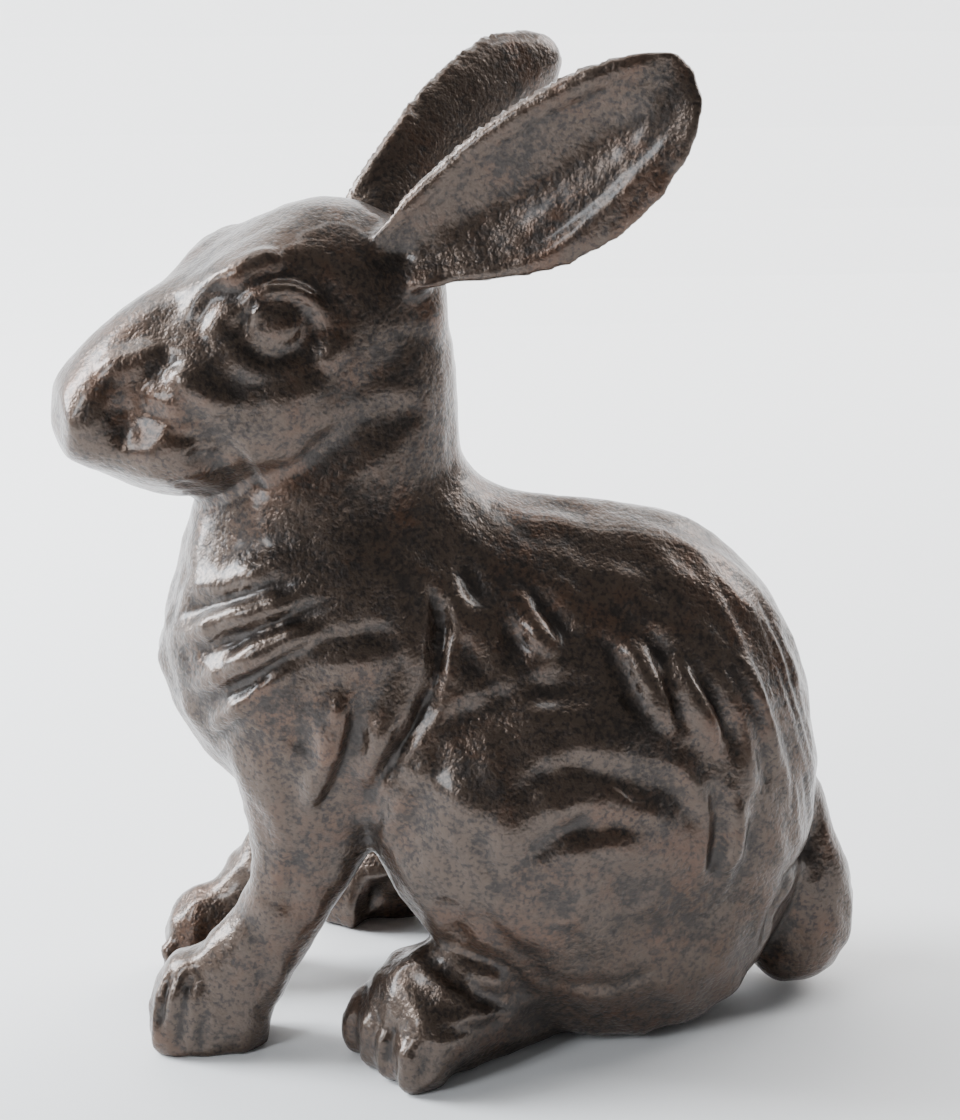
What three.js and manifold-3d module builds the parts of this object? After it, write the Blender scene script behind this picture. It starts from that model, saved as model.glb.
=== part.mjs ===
// Seated hare, an ornament cast in iron: one solid with its ears laid back and its head turned to its left.
// Millimetres, Z up, nose towards -X, the hare's left side towards -Y. The origin is on the ground
// below the middle of its bounding box.
import * as THREE from 'three';
import Module from 'manifold-3d';
import { mergeVertices } from 'three/addons/utils/BufferGeometryUtils.js';

// Driving sizes. The pose and the carving are shares of the height, the rest are sizes by themselves.
const HEIGHT = 236;
const HEAD_TURN = THREE.MathUtils.degToRad(12.5);
const FOOT_WALL = 7;
const EAR_THICKNESS = 5.2;
const SIDES = [-1, 1];

// The hind feet. The right one is slimmer and is splayed further.
const HIND_FEET = [
  { side: -1, heel: [29, -4], splay: 31, reach: 59, fullness: 1, toeCount: 4 },
  { side: 1, heel: [20, 9], splay: 39, reach: 64, fullness: 0.74, toeCount: 3 },
];

// The ears. The left one is fuller, bows more and lifts at its tip.
const EARS = [
  { side: -1, full: 1, bow: 3, lift: 3 },
  { side: 1, full: 0.92, bow: 0.5, lift: 0 },
];

// How far the right fore paw is set back.
const PAW_SET_BACK = 2;

// Least half width of a swept mass, so that its ends can be measured too.
const SLIVER = 0.1;

const unit = HEIGHT / 236;
const wasm = await Module();
wasm.setup();

const point = (x, y, z) => new THREE.Vector3(x, y, z).multiplyScalar(unit);

// A section stands at a place, with one half axis across the form and one over it.
const section = (at, across, over) => ({ at, across, over });

// Section of a form that runs along X, between its top and its underside.
function upright(x, y, top, under, halfWidth) {
  return section(point(x, y, (top + under) / 2), point(0, halfWidth, 0), point(0, 0, (top - under) / 2));
}

// Section of a form that runs along Z, between its front and its back.
function level(z, y, front, back, halfWidth) {
  return section(point((front + back) / 2, y, z), point(0, halfWidth, 0), point((back - front) / 2, 0, 0));
}

// Curves through the places of sections and through their two half axes.
function curvesThrough(sections) {
  return ['at', 'across', 'over'].map((key) => {
    const stops = sections.map((one) => one[key]);
    return new THREE.CatmullRomCurve3(stops, false, 'catmullrom', 0.5);
  });
}

// Closed form through sections. Its two ends close in round noses between the last two sections.
function loft(sections, { around = 20, between = 1, noses = 3, shape = roundShape } = {}) {
  const steps = stepsThrough(sections.length - 1, between, noses);
  const geometry = new THREE.SphereGeometry(1, around, steps.length - 1);
  const curves = curvesThrough(sections);
  const vertex = geometry.attributes.position;
  for (let row = 0; row < steps.length; row++) {
    const { share, swell } = steps[row];
    const [centre, half, rise] = curves.map((one) => one.getPoint(share));
    for (let column = 0; column <= around; column++) {
      const angle = (2 * Math.PI * (column % around)) / around;
      const [a, b] = shape(Math.cos(angle), Math.sin(angle), share);
      const place = centre.clone().addScaledVector(half, a * swell).addScaledVector(rise, b * swell);
      vertex.setXYZ(row * (around + 1) + column, place.x, place.y, place.z);
    }
  }
  return geometry;
}

// Places along a loft with the share of full size there: crowded in the two noses, even between.
function stepsThrough(spans, between, noses) {
  const steps = [];
  for (let i = 0; i < noses; i++) {
    const angle = (Math.PI / 2) * (i / noses);
    steps.push({ share: (1 - Math.cos(angle)) / spans, swell: Math.sin(angle) });
  }
  for (let i = 0; i <= (spans - 2) * between; i++) {
    steps.push({ share: (1 + i / between) / spans, swell: 1 });
  }
  const nose = steps.slice(0, noses).reverse();
  return steps.concat(nose.map(({ share, swell }) => ({ share: 1 - share, swell })));
}

const roundShape = (a, b) => [a, b];

// Fuller in its corners than an ellipse.
const fuller = (a) => Math.sign(a) * Math.abs(a) ** 0.8;
const blockShape = (a, b) => [fuller(a), fuller(b)];

// Flat with a full rim, and bent across, as an ear is.
const cupShape = (cup) => (a, b) => [a, Math.sign(b) * Math.abs(b) ** 0.5 + cup * (a * a - 0.4)];

// Mass of a body swept through sections along one axis: a function that is below zero inside it.
function sweptMass(axis, sections) {
  const steps = stepsThrough(sections.length - 1, 4, 6);
  const curves = curvesThrough(sections);
  const rows = steps.map(({ share, swell }) => {
    const [at, across, over] = curves.map((one) => one.getPoint(share));
    const [a, b] = [across, over].map((half) => Math.max(half.length() * swell, SLIVER));
    return { at, a, b, overAxis: over.normalize() };
  });
  rows.sort((one, other) => one.at[axis] - other.at[axis]);
  return (place) => {
    const key = place[axis];
    const last = rows.length - 1;
    if (key <= rows[0].at[axis]) return place.distanceTo(rows[0].at) + SLIVER;
    if (key >= rows[last].at[axis]) return place.distanceTo(rows[last].at) + SLIVER;
    const next = rows.findIndex((row) => row.at[axis] > key);
    const [low, high] = [rows[next - 1], rows[next]];
    const share = (key - low.at[axis]) / (high.at[axis] - low.at[axis]);
    const offset = place.clone().sub(low.at.clone().lerp(high.at, share));
    const a = THREE.MathUtils.lerp(low.a, high.a, share);
    const b = THREE.MathUtils.lerp(low.b, high.b, share);
    return (Math.hypot(offset.y / a, offset.dot(low.overAxis) / b) - 1) * Math.min(a, b);
  };
}

// Mass of an ellipsoid leaning in the side view.
function ovalMass(at, size, lean = 0) {
  return (place) => {
    const offset = place.clone().sub(at).applyAxisAngle(new THREE.Vector3(0, 1, 0), -lean);
    const scaled = offset.clone().divide(size).length();
    const steep = offset.clone().divide(size).divide(size).length();
    return (scaled * (scaled - 1)) / Math.max(steep, 1e-6);
  };
}

// Masses run together, with a fillet of the given radius where they meet.
function blend(masses, radius) {
  return (place) => masses.map((mass) => mass(place)).reduce((a, b) => {
    const near = Math.max(radius - Math.abs(a - b), 0) / radius;
    return Math.min(a, b) - (near * near * radius) / 4;
  });
}

// Skin of the masses, met by looking inwards towards a spine of fanned sections.
function skin(mass, spine, around, reach) {
  const geometry = new THREE.SphereGeometry(1, around, spine.length - 1);
  const vertex = geometry.attributes.position;
  spine.forEach(({ at, up, swell }, row) => {
    for (let column = 0; column <= around; column++) {
      const angle = (2 * Math.PI * (column % around)) / around;
      const out = up.clone().multiplyScalar(Math.cos(angle)).add(new THREE.Vector3(0, Math.sin(angle), 0));
      const place = at.clone().addScaledVector(out, swell * distanceToSkin(mass, at, out, reach));
      vertex.setXYZ(row * (around + 1) + column, place.x, place.y, place.z);
    }
  });
  return geometry;
}

function distanceToSkin(mass, from, out, reach) {
  const inside = (far) => mass(from.clone().addScaledVector(out, far)) < 0;
  const stride = 3 * unit;
  let far = reach;
  while (far > stride && !inside(far)) {
    far -= stride;
  }
  let [low, high] = [far, far + stride];
  for (let i = 0; i < 8; i++) {
    const half = (low + high) / 2;
    [low, high] = inside(half) ? [half, high] : [low, half];
  }
  return low;
}

// An ellipsoid.
function ball(at, size, around, rings) {
  const form = new THREE.SphereGeometry(1, around, rings);
  return form.scale(size.x, size.y, size.z).translate(at.x, at.y, at.z);
}

// Solid of a closed geometry, whichever way its faces point.
function solid(geometry) {
  geometry.deleteAttribute('normal');
  geometry.deleteAttribute('uv');
  const merged = mergeVertices(geometry, 1e-4);
  const vertProperties = new Float32Array(merged.attributes.position.array);
  const triVerts = new Uint32Array(merged.index.array);
  if (volumeOf(vertProperties, triVerts) < 0) {
    for (let i = 0; i < triVerts.length; i += 3) {
      [triVerts[i], triVerts[i + 1]] = [triVerts[i + 1], triVerts[i]];
    }
  }
  return new wasm.Manifold(new wasm.Mesh({ numProp: 3, vertProperties, triVerts }));
}

function volumeOf(places, corners) {
  const [a, b, c] = [0, 1, 2].map(() => new THREE.Vector3());
  let sum = 0;
  for (let i = 0; i < corners.length; i += 3) {
    [a, b, c].forEach((one, k) => one.fromArray(places, 3 * corners[i + k]));
    sum += a.dot(b.cross(c));
  }
  return sum / 6;
}

const joined = (geometries) => geometries.map(solid).reduce((all, one) => all.add(one));

// Trunk from the chest to the rump, in upright sections.
function trunk() {
  return sweptMass('x', [
    upright(-78, 0, 111, 84, 15),
    upright(-74.5, 0, 112, 84, 16),
    upright(-70, 0, 121, 75, 22),
    upright(-61, 0, 129, 66, 26.5),
    upright(-49, 0, 134, 57, 30),
    upright(-34, 0, 136, 52, 32),
    upright(-19, 0, 135.5, 46, 33),
    upright(-6, 0, 135, 26, 34),
    upright(10, 0, 134, 2, 35),
    upright(27, 0, 132, -6, 36),
    upright(43, 0, 129.5, -6, 36),
    upright(55, 0, 124, -3, 34.5),
    upright(65, 0, 115.5, 4, 31),
    upright(73, 0, 105, 14, 26),
    upright(79.5, 0, 89, 32, 18.5),
    upright(83, 0, 75, 44, 12),
    upright(85, 0, 72, 46, 12),
  ]);
}

function neck() {
  return sweptMass('z', [
    level(98, 0, -60, 12, 20),
    level(110, 0, -65, 10, 24),
    level(122, 0, -69, 5, 25),
    level(132, 0, -69, 0, 25),
    level(142, 0, -64.5, -4, 24),
    level(153, 0, -58, -5, 23),
    level(165, 0, -50, -5.5, 20.5),
    level(178, 0, -46, -7.5, 17),
    level(190, 0, -42, -12, 13),
  ]);
}

// Shoulder and thigh stand out from the trunk on each side.
function sideMasses(side) {
  return [
    ovalMass(point(-36, 17 * side, 97), point(27, 18, 36), 0.15),
    ovalMass(point(12, 25 * side, 60), point(39, 21.5, 40)),
    ovalMass(point(27, 18 * side, 20), point(37, 17, 22), 0.08),
  ];
}

// Spine of the torso: along the trunk, round a bend below the withers, and up the neck.
function spine() {
  const [rump, loin, crown] = [85, 38, 186];
  const [trunkRows, bendRows, neckRows] = [10, 15, 5];
  const [bend, radius] = [point(loin, 0, 150), 80 * unit];
  const rows = [];
  for (let i = 0; i < trunkRows; i++) {
    const share = i / trunkRows;
    const x = THREE.MathUtils.lerp(rump, loin, share);
    rows.push({ at: point(x, 0, 62 + 8 * share), up: new THREE.Vector3(0, 0, 1) });
  }
  for (let i = 0; i <= bendRows; i++) {
    const angle = (Math.PI / 2) * (i / bendRows);
    const up = new THREE.Vector3(Math.sin(angle), 0, Math.cos(angle));
    rows.push({ at: bend.clone().addScaledVector(up, -radius), up });
  }
  for (let i = 1; i <= neckRows; i++) {
    const z = THREE.MathUtils.lerp(150, crown, i / neckRows);
    rows.push({ at: point(-40 + i, 0, z), up: new THREE.Vector3(1, 0, 0) });
  }
  return rows.map((row, i) => ({ ...row, swell: i === 0 || i === rows.length - 1 ? 0 : 1 }));
}

function torso() {
  const masses = [trunk(), neck(), ...SIDES.flatMap(sideMasses)];
  const [fillet, columns, reach] = [9 * unit, 32, 84 * unit];
  return skin(blend(masses, fillet), spine(), columns, reach);
}

// Skull and muzzle, straight ahead. The whole head is turned afterwards.
function skull() {
  return sweptMass('x', [
    upright(-99, 0, 166, 150, 10),
    upright(-97, 0, 167, 150, 11),
    upright(-92, 0, 173.5, 146.5, 14.5),
    upright(-84, 0, 180.2, 141.5, 17),
    upright(-76, 0, 185.5, 138, 19),
    upright(-66, 0, 190.8, 137, 21.5),
    upright(-56, 0, 197.3, 138.5, 23.5),
    upright(-46, 0, 202.6, 142, 24.5),
    upright(-36, 0, 205, 146, 24.5),
    upright(-26, 0, 203.5, 150, 23),
    upright(-17, 0, 199, 158, 20),
    upright(-7, 0, 199, 158, 20),
  ]);
}

// Nose, whisker pad, cheek and brow of one side.
function faceMasses(side) {
  return [
    ovalMass(point(-91, 6.5 * side, 158), point(8.5, 7.5, 9)),
    ovalMass(point(-75, 13 * side, 155), point(11, 9.5, 10.5), -0.3),
    ovalMass(point(-48, 14 * side, 160), point(20, 12, 15), 0.2),
    ovalMass(point(-56, 13 * side, 191), point(13, 6.5, 5), -0.35),
    ovalMass(point(-63, 15.5 * side, 173), point(12, 7, 5.5), -0.5),
  ];
}

// Hollows of one side, which the face sinks into: the nostril, and the socket in front of the eye.
function faceHollows(side) {
  return [
    ovalMass(point(-84.5, 20 * side, 163), point(4, 6, 8)),
    ovalMass(point(-50, 28 * side, 181), point(13, 8, 9), -0.2),
    ovalMass(point(-68, 25 * side, 183), point(12, 7, 5), -0.5),
  ];
}

function face() {
  const full = blend([skull(), ...SIDES.flatMap(faceMasses)], 6 * unit);
  const hollow = blend(SIDES.flatMap(faceHollows), 4 * unit);
  const mass = (place) => -blend([(at) => -full(at), hollow], 5 * unit)(place);
  const [nose, nape, low, high] = [-100, -7, 157, 176];
  const [count, columns, reach] = [24, 26, 60 * unit];
  const rows = Array.from({ length: count + 1 }, (_, i) => {
    const crowded = (1 - Math.cos((Math.PI * i) / count)) / 2;
    const x = THREE.MathUtils.lerp(nose, nape, 0.4 * crowded + (0.6 * i) / count);
    const z = THREE.MathUtils.lerp(low, high, Math.min((2 * i) / count, 1));
    return { at: point(x, 0, z), up: new THREE.Vector3(0, 0, 1), swell: i === 0 || i === count ? 0 : 1 };
  });
  return skin(mass, rows, columns, reach);
}

function eyeball(side) {
  return ball(point(-50, 17.5 * side, 180), point(7, 6.3, 6.3), 12, 8);
}

// Roll of an eyelid round the ball, between two angles seen from the side.
function eyelid(side, from, to, reach) {
  const count = 6;
  const angles = Array.from({ length: count }, (_, i) => from + ((to - from) * i) / (count - 1));
  return loft(angles.map((angle) => {
    const out = new THREE.Vector3(Math.cos(angle), 0, Math.sin(angle));
    const at = point(-50, 21 * side, 180).addScaledVector(out, reach * unit);
    return section(at, point(0, 2.6, 0), out.clone().multiplyScalar(1.7 * unit));
  }), { around: 6, noses: 1 });
}

// Ear laid back and outwards, cupped towards its open side.
function ear({ side, full, bow, lift }) {
  const sag = (run) => {
    const bowed = Math.sin(Math.PI * THREE.MathUtils.clamp(run / 75, 0, 1));
    return bow * bowed - lift * (run / 70) ** 3;
  };
  const along = new THREE.Vector3(0.763, 0.395 * side, 0.51);
  const across = new THREE.Vector3(0.433, 0.272 * side, -0.858);
  const open = new THREE.Vector3(-0.474, 0.88 * side, 0.04);
  const root = point(-17.5, 18 * side, 195.7);
  const station = (run, halfWidth, thickness) => section(
    root.clone().addScaledVector(along, run * unit).addScaledVector(across, sag(run) * unit),
    across.clone().multiplyScalar(halfWidth * unit * full),
    open.clone().multiplyScalar(thickness / 2),
  );
  return loft([
    station(-14, 7, 1.8 * EAR_THICKNESS),
    station(-6, 8, 1.8 * EAR_THICKNESS),
    station(4, 11, 1.4 * EAR_THICKNESS),
    station(15, 15.2, 1.1 * EAR_THICKNESS),
    station(27, 18.2, EAR_THICKNESS),
    station(40, 18.8, EAR_THICKNESS),
    station(51, 17.4, EAR_THICKNESS),
    station(60, 14.4, EAR_THICKNESS),
    station(66, 11, EAR_THICKNESS),
    station(72.5, 9.5, EAR_THICKNESS),
  ], { around: 12, noses: 2, shape: cupShape(1.7) });
}

function head() {
  const forms = [face(), ...EARS.map(ear)];
  for (const side of SIDES) {
    forms.push(eyeball(side), eyelid(side, -0.2, 3.3, 8), eyelid(side, 3.5, 5.9, 7.4));
  }
  return forms.map(turned);
}

// Turns a form of the head about the neck.
function turned(form) {
  const pivot = point(-45, 0, 0);
  return form.translate(-pivot.x, 0, 0).rotateZ(HEAD_TURN).translate(pivot.x, 0, 0);
}

const setBack = (side) => (side < 0 ? 0 : PAW_SET_BACK);

// Shoulder, arm and wrist in one run down to the paw.
function foreLeg(side) {
  const back = setBack(side);
  return loft([
    level(138, 8 * side, -44, -18, 8),
    level(127, 12 * side, -54, -13, 12),
    level(111, 16 * side, -63, -9, 17),
    level(94, 19 * side, -65, -13.5, 17),
    level(78, 20 * side, -62, -21, 14),
    level(63, 20 * side, -58.5 + back, -26, 11.5),
    level(52, 19.5 * side, -57 + back, -28, 10),
    level(43, 19 * side, -58 + back, -33, 9.3),
    level(36, 18.5 * side, -62 + back, -37, 9),
    level(29, 18 * side, -68 + back, -40.5, 9),
    level(22, 17.5 * side, -73 + back, -44.5, 9),
    level(12, 17 * side, -75 + back, -50.5, 9),
    level(0, 17 * side, -76 + back, -55, 8.5),
  ], { around: 12, noses: 2 });
}

function forePaw(side) {
  const back = setBack(side);
  const paw = loft([
    upright(-82.5 + back, 16.8 * side, 19, -8, 8),
    upright(-80 + back, 16.8 * side, 20, -8, 8.5),
    upright(-75 + back, 16.8 * side, 25, -9, 9.5),
    upright(-66 + back, 17 * side, 27, -9, 9.5),
    upright(-59, 17.2 * side, 24.5, -8, 9),
    upright(-53, 17.2 * side, 21, -6, 8),
  ], { around: 12, noses: 2, shape: blockShape });
  return [paw, ...toes(point(-74.5 + back, 16.8 * side, 7), point(-1, 0, 0), point(0, 17, 0), 3)];
}

// Row of toes in front of a foot.
function toes(middle, ahead, spread, count) {
  return Array.from({ length: count }, (_, i) => {
    const share = (i + 0.5) / count - 0.5;
    const at = middle.clone().addScaledVector(spread, share);
    at.addScaledVector(ahead, (1 - 3 * share * share) * 2);
    const size = point(8, spread.length() / unit / count / 1.75, 11);
    const toe = ball(point(0, 0, 0), size, 7, 6).rotateZ(Math.atan2(ahead.y, ahead.x));
    return toe.translate(at.x, at.y, at.z);
  });
}

// Long foot, lower on its outer edge, with its toes in a row across the front.
function hindFoot({ side, heel, splay, reach, fullness, toeCount }) {
  const turn = THREE.MathUtils.degToRad(splay);
  const ahead = new THREE.Vector3(-Math.cos(turn), Math.sin(turn) * side, 0);
  const outer = new THREE.Vector3(Math.sin(turn), Math.cos(turn) * side, 0);
  const down = new THREE.Vector3(0, 0, -1);
  const tilt = THREE.MathUtils.degToRad(20);
  const across = outer.clone().multiplyScalar(Math.cos(tilt)).addScaledVector(down, Math.sin(tilt));
  const over = outer.clone().multiplyScalar(Math.sin(tilt)).addScaledVector(down, -Math.cos(tilt));
  const along = (run, z) => point(heel[0], heel[1], z).addScaledVector(ahead, run * reach * unit);
  const station = (run, z, halfWidth, halfHeight) => section(
    along(run, z),
    across.clone().multiplyScalar(fullness * halfWidth * unit),
    over.clone().multiplyScalar(halfHeight * unit),
  );
  const foot = loft([
    station(-0.1, 4, 10, 12),
    station(0.17, 5, 12, 14),
    station(0.44, 9, 14, 18),
    station(0.71, 12.5, 15.5, 19),
    station(0.92, 12.5, 16.5, 18),
    station(1.03, 10, 16, 15.5),
    station(1.12, 8, 15, 12.5),
  ], { around: 12, noses: 2 });
  const front = along(1, 7).addScaledVector(outer, -1.5 * unit);
  const spread = outer.multiplyScalar(31 * fullness * unit);
  return [foot, ...toes(front, ahead.multiplyScalar(unit), spread, toeCount)];
}

function tail() {
  return loft([
    level(62, 0, 74, 85, 5),
    level(54, 0, 76, 87.5, 6),
    level(44, 0, 74.5, 90.5, 9),
    level(34, 0, 72, 95, 11.5),
    level(22, 0, 69.5, 97.5, 13),
    level(13, 0, 69, 96, 12.5),
    level(6, 0, 70, 92, 10.5),
    level(1, 0, 72, 88, 8),
  ], { around: 12, noses: 2 });
}

// Hollow that the casting is open to from below, inside the walls of the feet.
function underside() {
  const wall = FOOT_WALL / unit;
  return loft([
    upright(-44, 0, 14, -14, 24 - wall),
    upright(-36, 6, 20, -20, 30 - wall),
    upright(-28, 10, 26, -26, 39 - wall),
    upright(-12, 10, 28, -28, 39 - wall),
    upright(4, 4, 28, -28, 29 - wall),
    upright(22, 0, 26, -26, 25 - wall),
    upright(40, 0, 22, -22, 19 - wall),
    upright(56, 0, 18, -18, 13 - wall),
    upright(62, 0, 18, -18, 13 - wall),
  ], { around: 10, noses: 2 });
}

function ground() {
  const size = 3 * HEIGHT;
  return new THREE.BoxGeometry(size, size, size).translate(0, 0, -size / 2);
}

// Rolls of fur and skin on one side, as runs of [x, z] seen from that side, with width and rise.
const ROLLS = [
  { run: [[-70, 117], [-57, 122], [-44, 129]], width: 4, rise: 2.6 },
  { run: [[-73, 105], [-58, 113], [-42, 119]], width: 4.2, rise: 2.8 },
  { run: [[-70, 93], [-55, 105], [-39, 114]], width: 4.2, rise: 2.8 },
  { run: [[-65, 81], [-56, 92], [-47, 101]], width: 3.6, rise: 2 },
  { run: [[-36, 99], [-37, 84], [-44, 68]], width: 3.6, rise: 2.2 },
  { run: [[-26, 93], [-29, 74]], width: 3, rise: 2 },
  { run: [[-9, 122], [-10, 106], [-17, 91], [-24, 78], [-29, 62]], width: 4, rise: 2.4 },
  { run: [[-2, 118], [3, 105]], width: 3.4, rise: 2.2 },
  { run: [[9, 114], [15, 102]], width: 3.4, rise: 2.2 },
  { run: [[28, 106], [35, 97], [41, 86]], width: 3.4, rise: 2.2 },
  { run: [[40, 101], [48, 91], [54, 80]], width: 3.4, rise: 2.2 },
  { run: [[56, 103], [64, 89], [68, 70]], width: 3.6, rise: 2.2 },
  { run: [[2, 70], [13, 77], [29, 74], [41, 63]], width: 3.6, rise: 1.8 },
  { run: [[53, 76], [58, 58], [53, 38]], width: 3.6, rise: 2 },
];

// Half sunk roll that follows the body, found by looking in from its side.
function roll(body, side, { run, width, rise }) {
  const inwards = new THREE.Vector3(0, -side, 0);
  const found = run.map(([x, z]) => {
    const [hit] = new THREE.Raycaster(point(x, 120 * side, z), inwards).intersectObject(body);
    return { at: hit.point, out: hit.face.normal };
  });
  const curve = new THREE.CatmullRomCurve3(found.map((one) => one.at));
  const stops = 2 * run.length;
  return loft(Array.from({ length: stops + 1 }, (_, i) => {
    const share = i / stops;
    const out = found[Math.round(share * (run.length - 1))].out;
    const across = new THREE.Vector3().crossVectors(curve.getTangent(share), out).normalize();
    const swell = unit * (0.45 + 0.55 * Math.sin(Math.PI * share));
    const over = out.clone().multiplyScalar(rise * swell);
    return section(curve.getPoint(share), across.multiplyScalar(width * swell), over);
  }), { around: 6, noses: 1 });
}

function hare() {
  const forms = [torso(), tail(), ...head(), ...HIND_FEET.flatMap(hindFoot)];
  for (const side of SIDES) {
    forms.push(foreLeg(side), ...forePaw(side));
  }
  const body = joined(forms);
  const bodyMesh = new THREE.Mesh(geometryOf(body));
  const carving = SIDES.flatMap((side) => ROLLS.map((one) => roll(bodyMesh, side, one)));
  const cuts = [underside(), ground()];
  return withoutPockets(cuts.reduce((rest, cut) => rest.subtract(solid(cut)), body.add(joined(carving))));
}

// Forms that meet can shut small pockets between them, which the casting doesn't have.
function withoutPockets(body) {
  const shells = body.decompose();
  return shells.reduce((largest, one) => (one.volume() > largest.volume() ? one : largest));
}

function geometryOf(body) {
  const { vertProperties, triVerts } = body.getMesh();
  const geometry = new THREE.BufferGeometry();
  geometry.setAttribute('position', new THREE.BufferAttribute(vertProperties, 3));
  geometry.setIndex(new THREE.BufferAttribute(triVerts, 1));
  return geometry;
}

function meshOf(name, body, material) {
  const geometry = geometryOf(body);
  geometry.computeBoundingBox();
  const middle = geometry.boundingBox.getCenter(new THREE.Vector3());
  geometry.translate(-middle.x, -middle.y, -geometry.boundingBox.min.z);
  const mesh = new THREE.Mesh(geometry, material);
  mesh.name = name;
  return mesh;
}

const castIron = new THREE.MeshStandardMaterial({ color: 0x4a3f39, roughness: 0.45, metalness: 0.6 });
const group = new THREE.Group();
group.add(meshOf('hare', hare(), castIron));

export default group;
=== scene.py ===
import math

import bmesh
import bpy
import numpy as np
from mathutils import Matrix, Vector, noise
from mathutils.bvhtree import BVHTree


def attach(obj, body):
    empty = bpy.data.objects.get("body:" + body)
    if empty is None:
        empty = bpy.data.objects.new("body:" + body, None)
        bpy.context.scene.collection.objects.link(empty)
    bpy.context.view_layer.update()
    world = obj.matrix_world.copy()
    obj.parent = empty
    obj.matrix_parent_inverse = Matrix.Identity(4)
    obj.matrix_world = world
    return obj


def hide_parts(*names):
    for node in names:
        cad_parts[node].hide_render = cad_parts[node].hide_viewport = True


MM = 0.001

# The photo's camera, worked out from the outline of the hare. Sizes in pixels are those of the photo.
PHOTO_WIDTH = 960
PHOTO_HEIGHT = 1120
PHOTO_FOCUS = 2160
SENSOR = 36
CAMERA_TURN = math.radians(-5.2)
CAMERA_RISE = math.radians(18.3)
CAMERA_DISTANCE = 520 * MM
CAMERA_TARGET = Vector((0.77, -8.72, 117.4)) * MM

# Plane of symmetry of the body, and the turn of the head about an upright line on it.
BODY_PLANE = Vector((0.77, -8.72, 0)) * MM
HEAD_PIVOT = BODY_PLANE + Vector((-45, 0, 0)) * MM
HEAD_TURN = math.radians(12.5)

# Skin of the casting: its faces, and the pulls and rounds of smoothing that take off the facets.
SKIN_GRID = 1.25 * MM
WELD = 0.01 * MM
EASE_PULLS = (0.62, -0.64)
FACET_ROUNDS = 16
CREASE_ROUNDS = 10
CREASE_PULL = 0.6
RIDGE_WEAR = 0.1
SETTLE_ROUNDS = 6
CARVED_ROUNDS = 1

# Where the ears begin and how they lie. Nothing below the lowest level is rounded as an ear.
EAR_ROOT = np.array((-16, -8.7, 196)) * MM
EAR_LIE = np.array((0.83, 0, 0.55))
EAR_BLEND = 14 * MM
EAR_LOWEST = 182 * MM
RIM_ROUNDS = 8
RIM_PULL = 0.5

# Lumps of the fur, drawn out along its lie. They fade over a height below the head to a faint share.
FUR_LIE = np.array((0.6, 0, -0.8))
FUR_SIZE = 6 * MM
FUR_RISE = 0.8 * MM
FUR_STRETCH = 3.5
HEAD_FOOT = 160 * MM
HEAD_BLEND = 40 * MM
HEAD_FUR = 0.15

# Small unevenness that the sand mould leaves everywhere.
CAST_SIZE = 3.5 * MM
CAST_RISE = 0.15 * MM

# Rounds of smoothing that a hollow is measured against.
HOLLOW_ROUNDS = {"fine_hollow": 4, "broad_hollow": 60}

# Colours of the patina, whose dark colour also paints shade in the hollows of the carving, and the sizes
# of its grain, pits, dark blotches and rusty parts.
BROWN = (0.08, 0.056, 0.042)
RUSTY = (0.09, 0.049, 0.031)
DARK = (0.032, 0.024, 0.02)
VALLEY = (0.014, 0.011, 0.01)
GRAIN_SIZE = 1.1 * MM
PIT_SIZE = 2.6 * MM
BLOTCH_SIZE = 17 * MM
RUST_SIZE = 26 * MM

# The floor and the wall that it turns up into.
FLOOR_REACH = 3.0
WALL_BACK = 1.3
WALL_BEND = 0.5
BEND_STEPS = 8

# Strokes of the carving: spacing of their points on the photo, the share that each end tapers over, the
# share of the width at the tips, and the widest step between two points on the same form. The step that
# is allowed grows with each point that misses the form.
STROKE_STEP = 5
STROKE_TAPER = 0.3
STROKE_TIP = 0.4
STROKE_JUMP = 4 * MM
JUMP_GROWTH = STROKE_JUMP / 3

# The way from one side of the body to the other.
ACROSS = Vector((0, 1, 0))


def camera_place():
    flat = math.cos(CAMERA_RISE) * CAMERA_DISTANCE
    height = math.sin(CAMERA_RISE) * CAMERA_DISTANCE
    return CAMERA_TARGET + Vector((math.sin(CAMERA_TURN) * flat, -math.cos(CAMERA_TURN) * flat, height))


def camera_turn():
    return (CAMERA_TARGET - camera_place()).to_track_quat("-Z", "Y")


def photo_camera():
    data = bpy.data.cameras.new("photo_camera")
    data.sensor_width = SENSOR
    data.lens = PHOTO_FOCUS / PHOTO_HEIGHT * SENSOR
    camera = bpy.data.objects.new("photo_camera", data)
    camera.location = camera_place()
    camera.rotation_euler = camera_turn().to_euler()
    bpy.context.collection.objects.link(camera)
    bpy.context.scene.camera = camera


# The solid's surface in small even faces.
def even_skin(node):
    mesh = node.data.copy()
    form = bmesh.new()
    form.from_mesh(mesh)
    bmesh.ops.remove_doubles(form, verts=form.verts, dist=WELD)
    form.to_mesh(mesh)
    form.free()
    holder = bpy.data.objects.new("holder", mesh)
    bpy.context.collection.objects.link(holder)
    remesh = holder.modifiers.new("even", "REMESH")
    remesh.mode = "VOXEL"
    remesh.voxel_size = SKIN_GRID
    view = bpy.context.evaluated_depsgraph_get()
    even = bpy.data.meshes.new_from_object(holder.evaluated_get(view), depsgraph=view)
    bpy.data.objects.remove(holder)
    return even


def read_places(mesh):
    flat = np.empty(len(mesh.vertices) * 3)
    mesh.vertices.foreach_get("co", flat)
    return flat.reshape(-1, 3)


def read_edges(mesh):
    flat = np.empty(len(mesh.edges) * 2, dtype=np.int64)
    mesh.edges.foreach_get("vertices", flat)
    return flat.reshape(-1, 2)


def write_places(mesh, places):
    mesh.vertices.foreach_set("co", np.ascontiguousarray(places).ravel())
    mesh.update()


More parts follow.
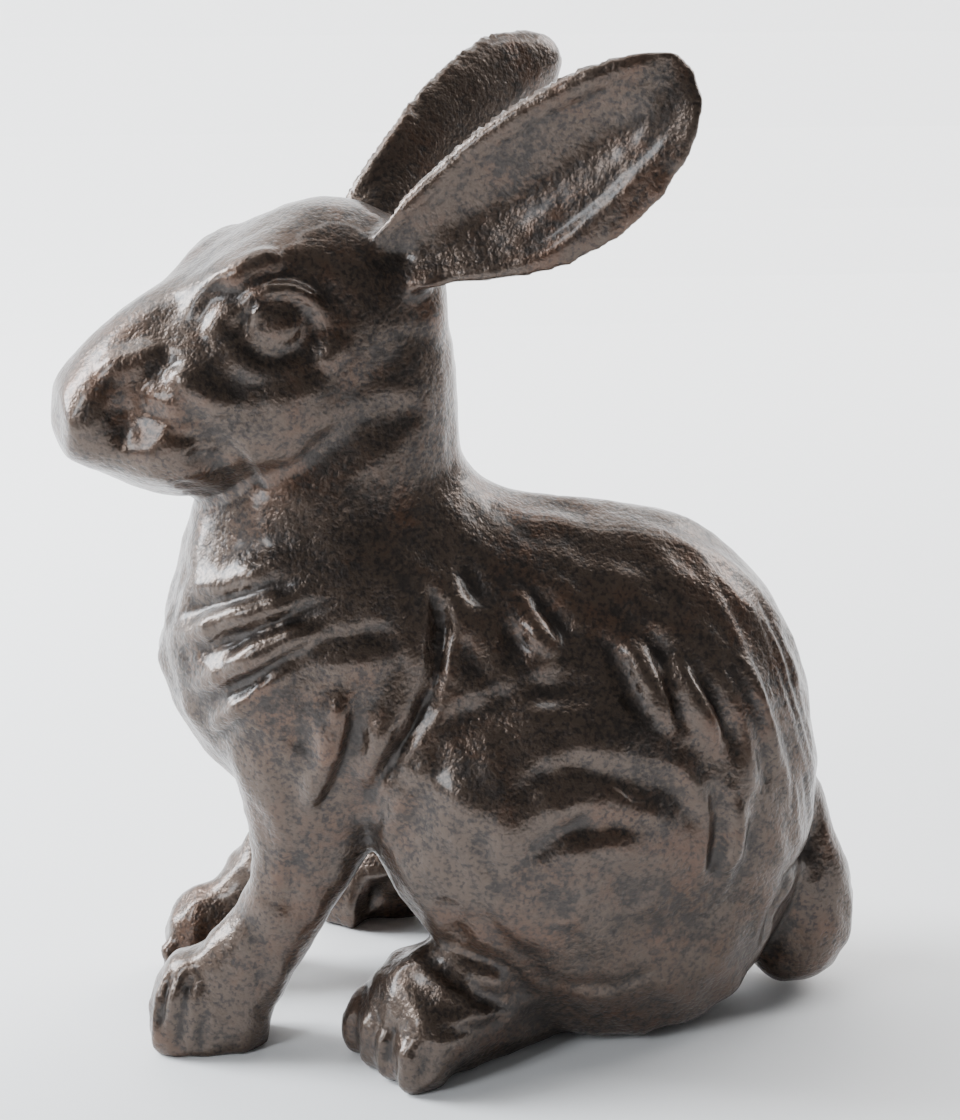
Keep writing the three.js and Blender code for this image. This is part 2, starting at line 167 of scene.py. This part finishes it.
def read_normals(mesh):
    flat = np.empty(len(mesh.vertices) * 3)
    mesh.vertex_normals.foreach_get("vector", flat)
    return flat.reshape(-1, 3)


# Mean of the neighbours of each vertex, for places or for single values.
def neighbour_mean(values, edges):
    count = len(values)
    a, b = edges[:, 0], edges[:, 1]
    degree = np.bincount(a, minlength=count) + np.bincount(b, minlength=count)
    columns = values.reshape(count, -1)
    total = np.empty_like(columns)
    for i in range(columns.shape[1]):
        column = columns[:, i]
        total[:, i] = np.bincount(a, column[b], count) + np.bincount(b, column[a], count)
    return (total / np.maximum(degree, 1)[:, None]).reshape(values.shape)


# Evens out facets and steps without shrinking the form.
def ease(places, edges, rounds):
    for _ in range(rounds):
        for pull in EASE_PULLS:
            places = places + pull * (neighbour_mean(places, edges) - places)
    return places


# Fills the creases between forms, and wears the ridges by a smaller share.
def fill_creases(mesh, places, edges):
    for _ in range(CREASE_ROUNDS):
        write_places(mesh, places)
        pull = neighbour_mean(places, edges) - places
        outward = np.einsum("ij,ij->i", pull, read_normals(mesh))
        share = np.where(outward > 0, CREASE_PULL, RIDGE_WEAR)
        places = places + share[:, None] * pull
    return places


def photo_ray(x, y):
    ahead = Vector((x - PHOTO_WIDTH / 2, PHOTO_HEIGHT / 2 - y, -PHOTO_FOCUS))
    return camera_turn() @ ahead.normalized()


# Even points along a curve through points of the photo.
def curve_points(points, step):
    points = [Vector(one) for one in points]
    points = [2 * points[0] - points[1]] + points + [2 * points[-1] - points[-2]]
    found = []
    for a, b, c, d in zip(points, points[1:], points[2:], points[3:]):
        count = max(2, int((c - b).length / step))
        for i in range(count):
            t = i / count
            bend = (2 * a - 5 * b + 4 * c - d) * t**2 + (3 * b - a - 3 * c + d) * t**3
            found.append(0.5 * (2 * b + (c - a) * t + bend))
    found.append(points[-2])
    return found


# A stroke drawn on the photo, laid on the body as places with the way out of the body there.
def on_body(tree, points):
    line = []
    reach = STROKE_JUMP
    for point in curve_points(points, STROKE_STEP):
        place, out, _, _ = tree.ray_cast(camera_place(), photo_ray(*point))
        if place is not None and (not line or (place - line[-1][0]).length < reach):
            line.append((place, out))
            reach = STROKE_JUMP
        else:
            reach += JUMP_GROWTH
    return line


# The same line on the other side of an upright plane through the pivot.
def mirrored(tree, line, pivot, turn):
    across = Matrix.Rotation(turn, 3, "Z") @ ACROSS
    found = [tree.find_nearest(place - 2 * (place - pivot).dot(across) * across) for place, _ in line]
    return [(place, out) for place, out, _, _ in found]


# For each vertex: its distance from a line, its share along the line, and how far it faces the same way.
def from_line(places, normals, line):
    best = np.full(len(places), np.inf)
    share = np.zeros(len(places))
    facing = np.zeros(len(places))
    for i, ((start, out), (end, _)) in enumerate(zip(line, line[1:])):
        start, run, out = np.array(start), np.array(end - start), np.array(out)
        length = run @ run
        if length == 0:
            continue
        along = np.clip((places - start) @ run / length, 0, 1)
        distance = np.linalg.norm(places - start - along[:, None] * run, axis=1)
        nearer = distance < best
        best[nearer] = distance[nearer]
        share[nearer] = (i + along[nearer]) / (len(line) - 1)
        facing[nearer] = normals[nearer] @ out
    return best, share, np.clip(2 * facing, 0, 1)


# The cuts of the carver, as rise at a distance from the line and at a share along it.
def dome(distance, share):
    return np.clip(1 - distance**2, 0, 1) ** 2


def ridge(distance, share):
    swell = np.sin(np.clip(np.minimum(share, 1 - share) / STROKE_TAPER, 0, 1) * math.pi / 2)
    return swell * dome(distance / (STROKE_TIP + (1 - STROKE_TIP) * swell), share)


def groove(distance, share):
    return -ridge(distance, share)


# One cut along a line, only where the surface faces the way that the line does.
def carve(places, normals, line, cut, width, rise):
    spots = np.array([place[:] for place, _ in line])
    low, high = spots.min(axis=0) - width, spots.max(axis=0) + width
    near = np.flatnonzero(np.all((places > low) & (places < high), axis=1))
    distance, share, facing = from_line(places[near], normals[near], line)
    height = rise * facing * cut(distance / width, share)
    places[near] += height[:, None] * normals[near]


def face_tree(mesh, places):
    faces = [tuple(face.vertices) for face in mesh.polygons]
    return BVHTree.FromPolygons([Vector(one) for one in places], faces)


# Cuts each stroke into both sides of the form.
def carve_all(mesh, places, strokes, pivot, turn):
    tree = face_tree(mesh, places)
    normals = read_normals(mesh)
    for cut, width, rise, points in strokes:
        line = on_body(tree, points)
        if len(line) > 1:
            for one in (line, mirrored(tree, line, pivot, turn)):
                carve(places, normals, one, cut, width * MM, rise * MM)
    write_places(mesh, places)


# Strokes of fine fur spread evenly between two of them.
def between(first, last, count):
    shares = [(i + 0.5) / count for i in range(count)]
    return [[Vector(a).lerp(Vector(b), share)[:] for a, b in zip(first, last)] for share in shares]


# Unevenness of the surface, in lumps of a size that can be drawn out along the lie of the fur.
def roughen(places, normals, size, rise, stretch=1):
    along = (places @ FUR_LIE)[:, None] * FUR_LIE
    squeezed = (places - along + along / stretch) / size
    lumps = np.array([noise.noise(Vector(one)) for one in squeezed])
    return places + (rise * lumps)[:, None] * normals


# Rounds the thin rims of the ears.
def round_ears(places, edges):
    share = np.clip(((places - EAR_ROOT) @ EAR_LIE) / EAR_BLEND, 0, 1) * (places[:, 2] > EAR_LOWEST)
    for _ in range(RIM_ROUNDS):
        places = places + RIM_PULL * share[:, None] * (neighbour_mean(places, edges) - places)
    return places


# The skin with its facets smoothed away, before it is carved.
def smooth_skin(mesh, places, edges):
    places = ease(places, edges, FACET_ROUNDS)
    places = fill_creases(mesh, places, edges)
    places = ease(places, edges, SETTLE_ROUNDS)
    return round_ears(places, edges)


# Lumps of fur, then the unevenness of the casting.
def rough_skin(places, normals):
    furred = np.clip((HEAD_FOOT - places[:, 2]) / HEAD_BLEND, HEAD_FUR, 1)
    places = roughen(places, normals, FUR_SIZE, FUR_RISE * furred, FUR_STRETCH)
    return roughen(places, normals, CAST_SIZE, CAST_RISE)


def cast_skin(node):
    mesh = even_skin(node)
    mesh.name = "hare_casting"
    edges = read_edges(mesh)
    places = smooth_skin(mesh, read_places(mesh), edges)
    write_places(mesh, places)
    carve_all(mesh, places, body_strokes(), BODY_PLANE, 0)
    carve_all(mesh, places, head_strokes(), HEAD_PIVOT, HEAD_TURN)
    places = ease(places, edges, CARVED_ROUNDS)
    write_places(mesh, rough_skin(places, read_normals(mesh)))
    mark_hollows(mesh, edges)
    return mesh


# How far each place lies in a hollow or on a ridge, kept for the painted shade that darkens the hollows
# in the colour and lightens the broad ridges.
def mark_hollows(mesh, edges):
    places = read_places(mesh)
    normals = read_normals(mesh)
    for name, rounds in HOLLOW_ROUNDS.items():
        smooth = places
        for _ in range(rounds):
            smooth = neighbour_mean(smooth, edges)
        depth = np.einsum("ij,ij->i", smooth - places, normals) / MM
        layer = mesh.attributes.new(name, "FLOAT", "POINT")
        layer.data.foreach_set("value", depth.astype(np.float32))


# Each stroke is a cut, its width and rise in mm, and its points on the photo.
def chest_strokes():
    return [
        (ridge, 5.0, 1.6, [(170, 594), (217, 580), (247, 570), (272, 555), (300, 536)]),
        (groove, 3.0, 0.8, [(178, 612), (224, 602), (262, 592), (303, 584)]),
        (ridge, 5.0, 1.6, [(166, 636), (204, 626), (242, 613), (279, 600), (316, 590)]),
        (groove, 3.4, 0.9, [(172, 660), (210, 648), (250, 632), (303, 614), (344, 596)]),
        (ridge, 5.0, 1.8, [(186, 690), (222, 673), (252, 658), (285, 642), (320, 626)]),
        (groove, 3.4, 0.9, [(200, 706), (230, 688), (268, 668), (322, 644)]),
        (ridge, 4.0, 1.4, [(203, 732), (237, 707), (255, 696), (273, 679), (300, 660)]),
        (groove, 3.0, 0.9, [(214, 744), (240, 720), (262, 702), (285, 684)]),
        (ridge, 5.5, 1.0, [(180, 562), (225, 548), (262, 528)]),
        (groove, 4.0, 0.9, [(170, 582), (215, 568), (256, 546), (290, 520)]),
    ]


def arm_strokes():
    return [
        (ridge, 5.5, 1.4, [(338, 680), (341, 712), (334, 745), (319, 780), (300, 820)]),
        (groove, 4.6, 1.2, [(356, 690), (354, 730), (340, 770), (322, 810)]),
        (ridge, 4.4, 1.1, [(378, 700), (384, 735), (375, 772), (360, 806)]),
        (groove, 4.0, 0.8, [(300, 690), (304, 722), (296, 756)]),
        (
            ridge, 6.0, 1.4,
            [(392, 600), (410, 635), (410, 670), (400, 700), (384, 730), (366, 760), (346, 795)],
        ),
        (
            groove, 4.4, 3.4,
            [(428, 578), (440, 610), (441, 650), (434, 690), (418, 724), (394, 758), (362, 806)],
        ),
        (ridge, 4.0, 1.2, [(436, 752), (410, 788), (393, 820), (381, 852)]),
        (groove, 4.5, 1.0, [(312, 648), (352, 640), (395, 630)]),
        (ridge, 6.0, 0.9, [(318, 672), (360, 660), (398, 655)]),
        (groove, 4.0, 0.8, [(300, 850), (292, 880), (286, 915)]),
    ]


def flank_strokes():
    return [
        (groove, 4.6, 1.4, [(462, 540), (470, 575), (485, 604), (505, 630), (530, 655)]),
        (ridge, 5.5, 1.2, [(452, 592), (468, 622), (488, 648), (505, 674)]),
        (ridge, 5.0, 1.3, [(506, 582), (522, 610), (540, 634), (560, 656)]),
        (groove, 4.0, 1.0, [(530, 580), (550, 612), (572, 642)]),
        (ridge, 5.0, 0.9, [(556, 575), (574, 605), (592, 632)]),
        (groove, 6.5, 1.7, [(440, 735), (470, 716), (505, 700), (545, 690), (585, 688), (622, 698)]),
        (ridge, 6.0, 0.9, [(450, 706), (485, 688), (525, 674), (565, 668)]),
        (groove, 4.6, 1.5, [(596, 632), (616, 664), (632, 697), (646, 722)]),
        (ridge, 5.0, 1.3, [(618, 632), (643, 664), (660, 700), (668, 736)]),
        (groove, 4.2, 1.2, [(650, 622), (666, 662), (676, 699), (686, 736)]),
        (ridge, 5.0, 1.2, [(668, 652), (690, 686), (706, 720), (719, 750)]),
        (groove, 4.2, 1.2, [(684, 652), (713, 696), (730, 733), (741, 766)]),
        (ridge, 5.0, 1.2, [(710, 662), (738, 710), (748, 750), (748, 782), (744, 812)]),
        (groove, 4.0, 1.0, [(724, 650), (752, 706), (766, 752), (768, 800)]),
    ]


def thigh_strokes():
    return [
        (
            groove, 7.0, 2.0,
            [(508, 806), (540, 786), (570, 778), (600, 780)]
            + [(636, 786), (668, 795), (692, 822), (702, 860)],
        ),
        (ridge, 6.5, 1.4, [(488, 880), (506, 850), (532, 824), (562, 808), (596, 802)]),
        (groove, 5.0, 1.1, [(520, 862), (552, 840), (590, 828), (632, 830)]),
        (ridge, 5.5, 1.0, [(540, 876), (572, 858), (612, 850), (650, 858)]),
        (groove, 5.0, 1.0, [(482, 826), (486, 850), (496, 880)]),
        (ridge, 8.0, 0.9, [(560, 742), (600, 746), (640, 756)]),
        (dome, 15.0, 2.2, [(468, 802), (480, 814)]),
        (groove, 6.0, 1.0, [(545, 886), (558, 904), (574, 918)]),
        (groove, 6.0, 1.0, [(612, 876), (632, 890), (650, 906)]),
        (groove, 5.0, 1.0, [(440, 895), (452, 920), (468, 944)]),
        (ridge, 4.4, 1.3, [(676, 750), (696, 797), (704, 839), (704, 890)]),
        (groove, 5.0, 1.4, [(712, 780), (722, 815), (718, 850), (702, 880)]),
        (ridge, 4.4, 1.0, [(738, 800), (738, 838), (722, 876)]),
        (groove, 4.0, 0.9, [(756, 810), (750, 850), (734, 888)]),
        (groove, 4.0, 0.8, [(523, 946), (540, 974), (582, 986), (624, 982), (660, 965)]),
    ]


def foot_strokes():
    return [
        (groove, 4.0, 1.8, [(404, 936), (434, 962), (458, 981), (484, 997), (518, 1014)]),
        (ridge, 4.4, 1.2, [(420, 926), (450, 951), (482, 971), (520, 988)]),
        (groove, 7.0, 1.6, [(404, 968), (430, 995), (470, 1012)]),
        (groove, 3.0, 1.1, [(432, 1030), (470, 1030), (510, 1020)]),
        (ridge, 3.6, 1.0, [(366, 985), (384, 1000), (402, 1030)]),
        (groove, 2.2, 1.3, [(392, 1020), (388, 1050), (378, 1075)]),
        (groove, 2.2, 1.2, [(430, 1044), (424, 1066), (420, 1085)]),
    ]


def paw_strokes():
    return [
        (groove, 2.2, 1.8, [(170, 970), (163, 995), (157, 1034)]),
        (groove, 2.2, 1.8, [(190, 972), (183, 1008), (178, 1054)]),
        (groove, 2.0, 1.2, [(206, 1005), (202, 1030), (200, 1056)]),
        (ridge, 4.6, 1.4, [(160, 958), (186, 950), (214, 958), (236, 976)]),
        (groove, 4.0, 0.9, [(206, 930), (224, 940), (244, 962)]),
        (groove, 4.0, 0.9, [(250, 925), (262, 955), (266, 990)]),
    ]


def tail_strokes():
    return [(groove, 4.4, 1.8, [(818, 812), (808, 845), (790, 880), (770, 920), (760, 962)])]


# Fine streaks of fur down the rump.
def rump_strokes():
    front = [(700, 560), (735, 620), (765, 690), (788, 760), (792, 830)]
    back = [(760, 590), (792, 660), (812, 735), (822, 800), (826, 850)]
    return [(groove, 2.2, 0.8, line) for line in between(front, back, 5)]


def body_strokes():
    front = chest_strokes() + arm_strokes()
    back = flank_strokes() + thigh_strokes() + foot_strokes()
    return front + back + paw_strokes() + tail_strokes() + rump_strokes()


def eye_strokes():
    return [
        (dome, 6.6, 1.5, [(270, 332), (277, 330)]),
        (
            groove, 1.9, 0.8,
            [(240, 340), (246, 316), (260, 302), (282, 297), (302, 305), (312, 324), (310, 346)],
        ),
        (groove, 1.9, 0.5, [(240, 340), (254, 356), (274, 362), (294, 358), (310, 346)]),
        (
            ridge, 3.0, 1.0,
            [(234, 334), (240, 309), (256, 294), (280, 287), (306, 294), (322, 312), (328, 338)],
        ),
        (ridge, 3.8, 1.0, [(228, 344), (242, 360), (262, 371), (290, 369), (316, 356)]),
        (groove, 4.0, 0.6, [(232, 306), (246, 284), (276, 274), (306, 280), (332, 302)]),
        (ridge, 5.5, 1.8, [(230, 296), (242, 278), (260, 266), (288, 258)]),
        (ridge, 4.4, 1.6, [(236, 300), (222, 318), (206, 338)]),
        (ridge, 4.0, 1.6, [(320, 368), (332, 352), (340, 336)]),
        (groove, 5.0, 0.6, [(328, 280), (342, 300), (348, 324)]),
    ]


def nose_strokes():
    return [
        (groove, 8.0, 1.0, [(108, 358), (135, 342), (165, 322), (200, 298), (226, 280)]),
        (ridge, 5.0, 1.2, [(96, 368), (128, 360), (162, 346)]),
        (groove, 4.4, 0.8, [(108, 398), (117, 414), (120, 432), (118, 448)]),
        (ridge, 4.0, 1.3, [(142, 392), (163, 399), (190, 412)]),
        (ridge, 5.4, 2.4, [(164, 372), (190, 386), (214, 401), (240, 410)]),
        (groove, 4.0, 0.5, [(134, 412), (168, 424), (204, 430), (236, 428)]),
        (groove, 4.4, 1.0, [(146, 380), (160, 366), (180, 356)]),
        (groove, 5.4, 0.4, [(196, 350), (214, 366), (236, 384), (262, 394)]),
        (ridge, 7.0, 0.8, [(262, 404), (292, 398), (322, 386)]),
    ]


def mouth_strokes():
    return [
        (groove, 2.2, 0.9, [(150, 432), (186, 439), (214, 439), (232, 447), (251, 470), (268, 497)]),
        (groove, 4.6, 1.2, [(188, 450), (210, 456), (232, 460)]),
        (groove, 7.5, 1.5, [(290, 494), (320, 466), (344, 446), (374, 425), (404, 414), (424, 408)]),
        (ridge, 4.4, 0.9, [(170, 466), (205, 478), (236, 496)]),
        (ridge, 4.0, 0.4, [(236, 440), (258, 462), (276, 488)]),
    ]


def ear_strokes():
    return [
        (
            ridge, 4.6, 2.2,
            [(387, 235), (403, 209), (439, 172), (483, 138), (542, 101), (600, 74), (650, 62)],
        ),
        (ridge, 3.6, 1.0, [(376, 214), (384, 232), (390, 250)]),
        (groove, 10.0, 1.7, [(446, 238), (495, 206), (552, 166), (608, 128), (654, 104)]),
        (groove, 2.6, 0.8, [(394, 248), (402, 254), (408, 262)]),
        (ridge, 3.6, 1.0, [(440, 278), (530, 262), (584, 228), (636, 180), (678, 130)]),
    ]


def head_strokes():
    return eye_strokes() + nose_strokes() + mouth_strokes() + ear_strokes()


# A shader node with its properties set.
def make(tree, kind, **values):
    node = tree.nodes.new(kind)
    for key, value in values.items():
        setattr(node, key, value)
    return node


# Fractal noise through the body, of a size in metres.
def speckle(tree, size, detail=2, roughness=0.5, distortion=0):
    node = make(tree, "ShaderNodeTexNoise")
    tree.links.new(tree.nodes["place"].outputs["Object"], node.inputs["Vector"])
    node.inputs["Scale"].default_value = 1 / size
    node.inputs["Detail"].default_value = detail
    node.inputs["Roughness"].default_value = roughness
    node.inputs["Distortion"].default_value = distortion
    return node.outputs["Fac"]


# Share from nought to one as a value passes between two limits.
def step_between(tree, value, low, high):
    node = make(tree, "ShaderNodeMapRange", interpolation_type="SMOOTHSTEP")
    tree.links.new(value, node.inputs["Value"])
    node.inputs["From Min"].default_value = low
    node.inputs["From Max"].default_value = high
    return node.outputs["Result"]


def reckon(tree, operation, a, b):
    node = make(tree, "ShaderNodeMath", operation=operation)
    for socket, value in zip(node.inputs, (a, b)):
        if isinstance(value, (int, float)):
            socket.default_value = value
        else:
            tree.links.new(value, socket)
    return node.outputs[0]


# A total with a share of how far a value lies from its middle.
def weigh(tree, total, value, weight, middle=0):
    away = reckon(tree, "SUBTRACT", value, middle)
    return reckon(tree, "ADD", total, reckon(tree, "MULTIPLY", away, weight))


def tint(tree, share, under, over):
    node = make(tree, "ShaderNodeMix", data_type="RGBA")
    tree.links.new(share, node.inputs["Factor"])
    for socket, value in ((node.inputs["A"], under), (node.inputs["B"], over)):
        if isinstance(value, tuple):
            socket.default_value = value + (1,)
        else:
            tree.links.new(value, socket)
    return node.outputs["Result"]


# How far a place is darkened: in blotches and pits of the patina, and by painted shade in the hollows of
# the carving, with its broad ridges painted lighter.
def dark_share(tree, grain, pits):
    blotch = speckle(tree, BLOTCH_SIZE, 6, 0.68, 0.3)
    broad = make(tree, "ShaderNodeAttribute", attribute_name="broad_hollow").outputs["Fac"]
    fine = make(tree, "ShaderNodeAttribute", attribute_name="fine_hollow").outputs["Fac"]
    share = weigh(tree, blotch, pits, 0.9, middle=0.5)
    share = weigh(tree, share, grain, -0.5, middle=0.5)
    # Painted shade: darker in the broad and fine hollows of the carving, lighter on its broad ridges.
    share = weigh(tree, share, broad, 0.025)
    return weigh(tree, share, fine, 0.4)


# Brown, rusty in places, under dark patches that are partly patina blotches and partly painted shade in
# the hollows, and dark valleys of the grain.
def patina_and_painted_shade(tree, grain, dark):
    rust = speckle(tree, RUST_SIZE, 7, 0.7, 0.4)
    brown = tint(tree, step_between(tree, rust, 0.45, 0.66), BROWN, RUSTY)
    patchy = tint(tree, step_between(tree, dark, 0.36, 0.74), brown, DARK)
    valley = reckon(tree, "MULTIPLY", step_between(tree, grain, 0.5, 0.34), 0.5)
    return tint(tree, valley, patchy, VALLEY)


def grain_bump(tree, grain, pits):
    low = reckon(tree, "MULTIPLY", grain, 0.27)
    bump = make(tree, "ShaderNodeBump")
    bump.inputs["Strength"].default_value = 1
    bump.inputs["Distance"].default_value = MM
    tree.links.new(weigh(tree, low, pits, 0.24), bump.inputs["Height"])
    return bump.outputs["Normal"]


def cast_iron():
    material = bpy.data.materials.new("waxed_cast_iron")
    material.use_nodes = True
    tree = material.node_tree
    shader = tree.nodes["Principled BSDF"]
    make(tree, "ShaderNodeTexCoord", name="place")
    grain = speckle(tree, GRAIN_SIZE, 1.5)
    pits = speckle(tree, PIT_SIZE, 3, 0.65)
    dark = dark_share(tree, grain, pits)
    dull = weigh(tree, 0.33, step_between(tree, dark, 0.45, 0.7), 0.1)
    tree.links.new(patina_and_painted_shade(tree, grain, dark), shader.inputs["Base Color"])
    tree.links.new(dull, shader.inputs["Roughness"])
    tree.links.new(grain_bump(tree, grain, pits), shader.inputs["Normal"])
    shader.inputs["Metallic"].default_value = 0.65
    shader.inputs["Coat Weight"].default_value = 0.4
    shader.inputs["Coat Roughness"].default_value = 0.18
    return material


def pale_paint():
    material = bpy.data.materials.new("pale_floor")
    material.use_nodes = True
    shader = material.node_tree.nodes["Principled BSDF"]
    shader.inputs["Base Color"].default_value = (0.9, 0.9, 0.9, 1)
    shader.inputs["Roughness"].default_value = 0.9
    shader.inputs["Specular IOR Level"].default_value = 0.1
    return material


# Side view of the floor: flat, round the bend, and up the wall.
def floor_profile():
    profile = [(-FLOOR_REACH, 0), (WALL_BACK - WALL_BEND, 0)]
    for i in range(1, BEND_STEPS + 1):
        angle = math.pi / 2 * i / BEND_STEPS
        back = WALL_BACK - WALL_BEND * (1 - math.sin(angle))
        profile.append((back, WALL_BEND * (1 - math.cos(angle))))
    profile.append((WALL_BACK, FLOOR_REACH))
    return profile


def plain_floor():
    profile = floor_profile()
    form = bmesh.new()
    left, right = [[form.verts.new((x, y, z)) for y, z in profile] for x in (-FLOOR_REACH, FLOOR_REACH)]
    for i in range(len(profile) - 1):
        form.faces.new((left[i], right[i], right[i + 1], left[i + 1]))
    mesh = bpy.data.meshes.new("floor")
    form.to_mesh(mesh)
    form.free()
    mesh.materials.append(pale_paint())
    floor = bpy.data.objects.new("floor", mesh)
    bpy.context.collection.objects.link(floor)


def soft_light(name, place, aim, size, power, colour=(1, 1, 1)):
    data = bpy.data.lights.new(name, "AREA")
    data.shape = "RECTANGLE"
    data.size, data.size_y = size
    data.energy = power
    data.color = colour
    light = bpy.data.objects.new(name, data)
    light.location = place
    light.rotation_euler = (Vector(aim) - Vector(place)).to_track_quat("-Z", "Y").to_euler()
    bpy.context.collection.objects.link(light)


def studio():
    world = bpy.data.worlds.new("studio")
    world.use_nodes = True
    world.node_tree.nodes["Background"].inputs["Color"].default_value = (0.92, 0.96, 1, 1)
    world.node_tree.nodes["Background"].inputs["Strength"].default_value = 0.16
    bpy.context.scene.world = world
    middle = (0, 0, 0.12)
    soft_light("window", (-1.05, 0.3, 0.62), middle, (0.4, 0.8), 36, (0.88, 0.94, 1))
    soft_light("glint", (-0.85, -0.55, 0.58), middle, (0.22, 0.5), 6, (0.9, 0.95, 1))
    soft_light("left", (-1.3, 0.5, 1.5), (0, 0.2, 0), (1.2, 1.2), 24)
    soft_light("wall", (0.2, 0.3, 1.5), (0.2, 1.3, 1.1), (2.0, 0.8), 50)
    soft_light("right", (1.6, 0.9, 1.1), (0.2, 0.5, 0), (1.2, 1.0), 34)


def show_hare(node):
    mesh = cast_skin(node)
    mesh.materials.clear()
    mesh.materials.append(cast_iron())
    for face in mesh.polygons:
        face.use_smooth = True
    hare = bpy.data.objects.new("hare_casting", mesh)
    bpy.context.collection.objects.link(hare)
    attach(hare, "root")
    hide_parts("hare")


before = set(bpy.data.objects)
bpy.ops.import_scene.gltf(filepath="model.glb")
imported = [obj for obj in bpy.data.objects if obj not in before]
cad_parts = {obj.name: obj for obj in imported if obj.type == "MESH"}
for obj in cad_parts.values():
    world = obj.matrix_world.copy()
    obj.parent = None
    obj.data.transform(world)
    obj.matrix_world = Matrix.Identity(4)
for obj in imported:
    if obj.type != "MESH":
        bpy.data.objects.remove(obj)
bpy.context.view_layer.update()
photo_camera()
plain_floor()
studio()
show_hare(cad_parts["hare"])
